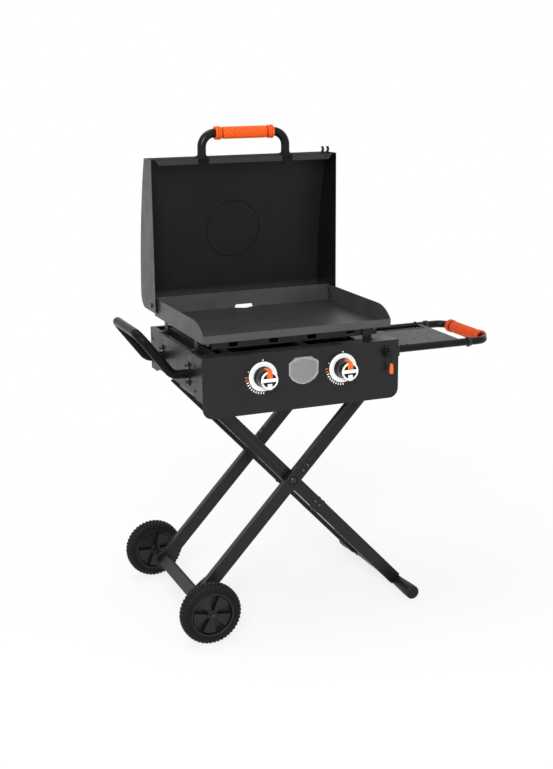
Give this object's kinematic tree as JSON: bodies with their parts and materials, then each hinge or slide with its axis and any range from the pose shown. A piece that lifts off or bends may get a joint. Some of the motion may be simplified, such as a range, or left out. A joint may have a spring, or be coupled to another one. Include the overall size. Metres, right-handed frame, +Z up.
{
  "type": "outdoor gas griddle station",
  "caption": "Portable gas griddle on folding scissor legs with wheels, hinged hood, sliding side shelf that doubles as a tow handle, side bail handle and turn knobs.",
  "frame": {"origin": "on the ground, in the middle of the whole object's width and depth", "axes": "+X to the object's right, +Y to its back, +Z up; the knobs face -Y"},
  "size_m": [1.0577, 0.606, 1.3723],
  "materials": {
    "black_sheet": "fine textured black powder coat",
    "inner_sheet": "plain galvanised sheet",
    "griddle_steel": "dark grey rolled steel, unseasoned",
    "hood_sheet": "dark grey satin powder coat",
    "black_tube": "satin black powder coat on tube",
    "leg_tube": "satin black powder coat on leg tube",
    "orange_grip": "orange moulded rubber grip",
    "orange_tag": "orange moulded tag",
    "knob_plastic": "black moulded knob with pale face",
    "bezel_ring": "pale printed ring",
    "badge": "bare satin plate",
    "black_plastic": "black moulded plastic",
    "tyre_rubber": "black tyre with tread",
    "wheel_plastic": "black moulded wheel",
    "zinc": "zinc-plated steel",
    "black_bolts": "blackened fasteners",
    "brass": "machined brass",
    "shelf_sheet": "dark grey satin powder coat",
    "cup_sheet": "drawn tray",
    "cap_rubber": "black rubber foot"
  },
  "bodies": {
    "base": {"front_panel": "black_sheet", "left_panel": "black_sheet", "right_panel": "black_sheet", "rear_panel": "black_sheet", "floor_tray": "black_sheet", "heat_shield": "inner_sheet", "left_burner": "zinc", "right_burner": "zinc", "gas_manifold": "zinc", "regulator": "zinc", "left_valve": "brass", "right_valve": "brass", "knob_bezels": "bezel_ring", "badge_plate": "badge", "bail_handle": "black_tube", "bail_brackets": "black_bolts", "leg_brackets": "black_bolts", "slide_rails": "black_sheet", "griddle_posts": "black_sheet", "guide_blocks": "black_plastic", "lock_bracket": "black_plastic", "body_screws": "black_bolts", "igniters": "zinc"},
    "griddle": {"griddle_plate": "griddle_steel", "wind_guard": "black_sheet", "hinge_brackets": "black_bolts"},
    "hood": {"hood_shell": "hood_sheet", "hood_left_end": "hood_sheet", "hood_right_end": "hood_sheet", "hood_lip": "hood_sheet", "hood_handle": "black_tube", "hood_grip": "orange_grip", "tool_clip": "black_bolts"},
    "left_stem": {"left_stem": "brass"},
    "right_stem": {"right_stem": "brass"},
    "left_knob": {"left_knob": "knob_plastic"},
    "right_knob": {"right_knob": "knob_plastic"},
    "shelf": {"shelf_plate": "shelf_sheet", "tow_handle": "black_tube", "tow_collars": "black_bolts", "tow_grip": "orange_grip"},
    "lock": {"lock_pin": "black_bolts", "pin_loop": "black_bolts", "pull_tag": "orange_tag"},
    "cup": {"grease_cup": "cup_sheet"},
    "wheel_frame": {"front_outer_leg": "leg_tube", "rear_outer_leg": "leg_tube", "axle_bar": "leg_tube", "axle": "black_bolts", "centre_bolts": "black_bolts", "leg_bolts": "black_bolts"},
    "foot_frame": {"front_inner_leg": "leg_tube", "rear_inner_leg": "leg_tube", "top_cross_tube": "leg_tube", "foot_bar": "black_tube", "foot_caps": "cap_rubber"},
    "front_wheel": {"front_wheel": "wheel_plastic", "front_tyre": "tyre_rubber"},
    "rear_wheel": {"rear_wheel": "wheel_plastic", "rear_tyre": "tyre_rubber"}
  },
  "joints": [
    {"name": "griddle_lift", "type": "slide", "parent": "base", "child": "griddle", "axis": [0, 0, 1], "range_m": [0, 0.08]},
    {"name": "hood_hinge", "type": "hinge", "parent": "griddle", "child": "hood", "pos_m": [-0.08665, 0.201, 0.85984], "axis": [1, 0, 0], "range_deg": [0, 85.6]},
    {"name": "left_knob_turn", "type": "hinge", "parent": "base", "child": "left_stem", "pos_m": [-0.20565, -0.221, 0.73084], "axis": [0, -1, 0], "range_deg": [0, 180]},
    {"name": "right_knob_turn", "type": "hinge", "parent": "base", "child": "right_stem", "pos_m": [0.03235, -0.221, 0.73084], "axis": [0, -1, 0], "range_deg": [0, 180]},
    {"name": "left_knob_push", "type": "slide", "parent": "left_stem", "child": "left_knob", "axis": [0, 1, 0], "range_m": [0, 0.003], "stiffness_N_per_m": 800, "springref_m": -0.002},
    {"name": "right_knob_push", "type": "slide", "parent": "right_stem", "child": "right_knob", "axis": [0, 1, 0], "range_m": [0, 0.003], "stiffness_N_per_m": 800, "springref_m": -0.002},
    {"name": "shelf_slide", "type": "slide", "parent": "base", "child": "shelf", "axis": [1, 0, 0], "range_m": [-0.18, 0]},
    {"name": "lock_pull", "type": "slide", "parent": "base", "child": "lock", "axis": [0, -1, 0], "range_m": [0, 0.006], "stiffness_N_per_m": 600, "springref_m": -0.003},
    {"name": "cup_slide", "type": "slide", "parent": "base", "child": "cup", "axis": [0, 1, 0], "range_m": [0, 0.07]},
    {"name": "legs_fold", "type": "hinge", "parent": "base", "child": "wheel_frame", "pos_m": [0.13961, -0.019, 0.64484], "axis": [0, 1, 0], "range_deg": [0, 46.9]},
    {"name": "scissor_pivot", "type": "hinge", "parent": "wheel_frame", "child": "foot_frame", "pos_m": [-0.09065, -0.019, 0.39878], "axis": [0, 1, 0], "range_deg": [-93.8, 0]},
    {"name": "front_wheel_spin", "type": "hinge", "parent": "wheel_frame", "child": "front_wheel", "pos_m": [-0.38241, -0.299, 0.087], "axis": [0, 1, 0], "continuous": true},
    {"name": "rear_wheel_spin", "type": "hinge", "parent": "wheel_frame", "child": "rear_wheel", "pos_m": [-0.38241, 0.261, 0.087], "axis": [0, 1, 0], "continuous": true}
  ],
  "couplings": [
    {"joint": "scissor_pivot", "follows": "legs_fold", "ratio": -2}
  ]
}
